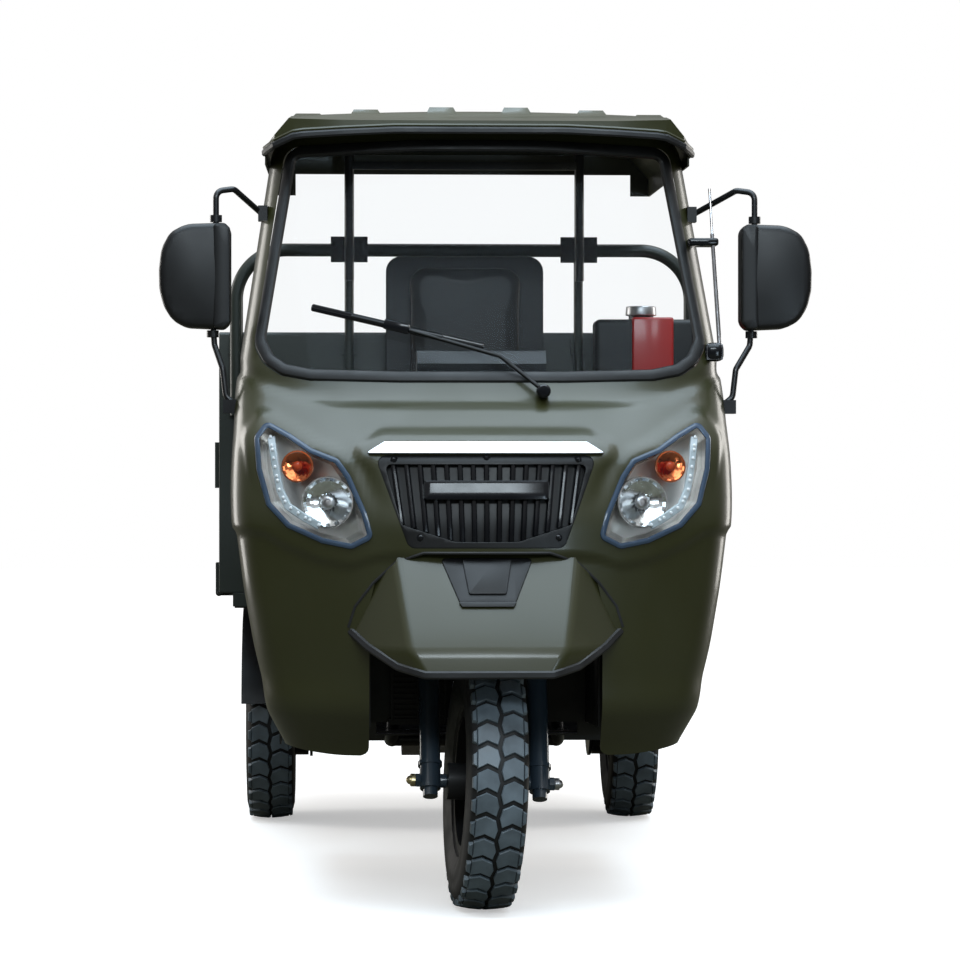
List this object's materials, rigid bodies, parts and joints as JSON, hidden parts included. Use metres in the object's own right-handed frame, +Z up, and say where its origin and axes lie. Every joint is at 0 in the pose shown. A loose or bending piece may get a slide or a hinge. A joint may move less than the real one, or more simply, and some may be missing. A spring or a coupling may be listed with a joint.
{
  "type": "enclosed cargo motor tricycle",
  "caption": "Three-wheeled motor tricycle with a roofed driver's cab, windshield and leg shields, and a drop-side cargo bed behind.",
  "frame": {"origin": "on the ground, midway along the length and across the width", "axes": "+X to the vehicle's left, +Y to its rear, +Z up"},
  "size_m": [1.526, 3.45, 1.86],
  "materials": {
    "cab_paint": "satin olive paint",
    "bed_paint": "satin dark green paint",
    "black_plastic": "fine grained",
    "black_gloss": "polished",
    "grey_plastic": "satin",
    "bright_trim": "polished",
    "rubber": "matte",
    "tyre": "matte",
    "frame_paint": "semi-gloss black",
    "wheel_paint": "semi-gloss black",
    "cast": "cast",
    "zinc": "zinc plated",
    "clear_glass": "clear",
    "lamp_glass": "clear",
    "tail_glass": "red lens",
    "mirror": "polished",
    "seat_cover": "grained artificial leather",
    "grey_paint": "satin grey paint"
  },
  "bodies": {
    "chassis": {"cab_shell": "cab_paint", "grille": "black_plastic", "grille_trim": "bright_trim", "headlamp_housings": "grey_plastic", "headlamp_lenses": "lamp_glass", "nose_fender": "cab_paint", "nose_fender_lip": "rubber", "nose_vent": "black_plastic", "cab_glass": "clear_glass", "windshield_seal": "rubber", "wiper": "black_plastic", "roof_panel": "cab_paint", "roof_edge_trim": "rubber", "roof_posts": "frame_paint", "dashboard": "black_plastic", "wheel_well": "black_plastic", "floor_pan": "frame_paint", "mirror_arms": "frame_paint", "mirror_heads": "black_gloss", "mirror_glasses": "mirror", "antenna": "bright_trim", "main_frame": "frame_paint", "engine": "cast", "radiator": "frame_paint", "exhaust": "frame_paint", "seat_base": "frame_paint", "seat_cushion": "seat_cover", "seat_backrest": "seat_cover", "backrest_panel": "black_plastic", "fuel_tank": "grey_paint", "bed_floor": "bed_paint", "bed_front_panel": "bed_paint", "bed_guard_hoop": "bed_paint", "rear_axle": "frame_paint", "leaf_springs": "frame_paint", "rear_mudguards": "black_plastic", "rear_bumper": "frame_paint", "rear_lamps": "tail_glass", "pedals": "frame_paint"},
    "steering": {"front_fork": "frame_paint", "handlebar": "frame_paint", "handlebar_grips": "rubber"},
    "front_wheel": {"front_tyre": "tyre", "front_rim": "wheel_paint"},
    "rear_wheel_left": {"rear_tyre_left": "tyre", "rear_rim_left": "wheel_paint"},
    "rear_wheel_right": {"rear_tyre_right": "tyre", "rear_rim_right": "wheel_paint"},
    "bed_side_left": {"bed_side_left": "bed_paint"},
    "bed_side_right": {"bed_side_right": "bed_paint"},
    "tailgate": {"tailgate": "bed_paint"}
  },
  "joints": [
    {"name": "steering", "type": "hinge", "parent": "chassis", "child": "steering", "pos_m": [0, -1.35455, 0.27027], "axis": [0, 0.4384, 0.8988], "range_deg": [-43, 33]},
    {"name": "front_wheel_spin", "type": "hinge", "parent": "steering", "child": "front_wheel", "pos_m": [0.00392, -1.39485, 0.28992], "axis": [0.9962, 0.0783, -0.0382], "continuous": true},
    {"name": "rear_wheel_left_spin", "type": "hinge", "parent": "chassis", "child": "rear_wheel_left", "pos_m": [0.52, 0.855, 0.29], "axis": [1, 0, 0], "continuous": true},
    {"name": "rear_wheel_right_spin", "type": "hinge", "parent": "chassis", "child": "rear_wheel_right", "pos_m": [-0.52, 0.855, 0.29], "axis": [1, 0, 0], "continuous": true},
    {"name": "bed_side_left_drop", "type": "hinge", "parent": "chassis", "child": "bed_side_left", "pos_m": [0.646, 0.745, 0.68], "axis": [0, 1, 0], "range_deg": [0, 170]},
    {"name": "bed_side_right_drop", "type": "hinge", "parent": "chassis", "child": "bed_side_right", "pos_m": [-0.646, 0.745, 0.68], "axis": [0, -1, 0], "range_deg": [0, 170]},
    {"name": "tailgate_drop", "type": "hinge", "parent": "chassis", "child": "tailgate", "pos_m": [0, 1.716, 0.68], "axis": [-1, 0, 0], "range_deg": [0, 170]}
  ]
}
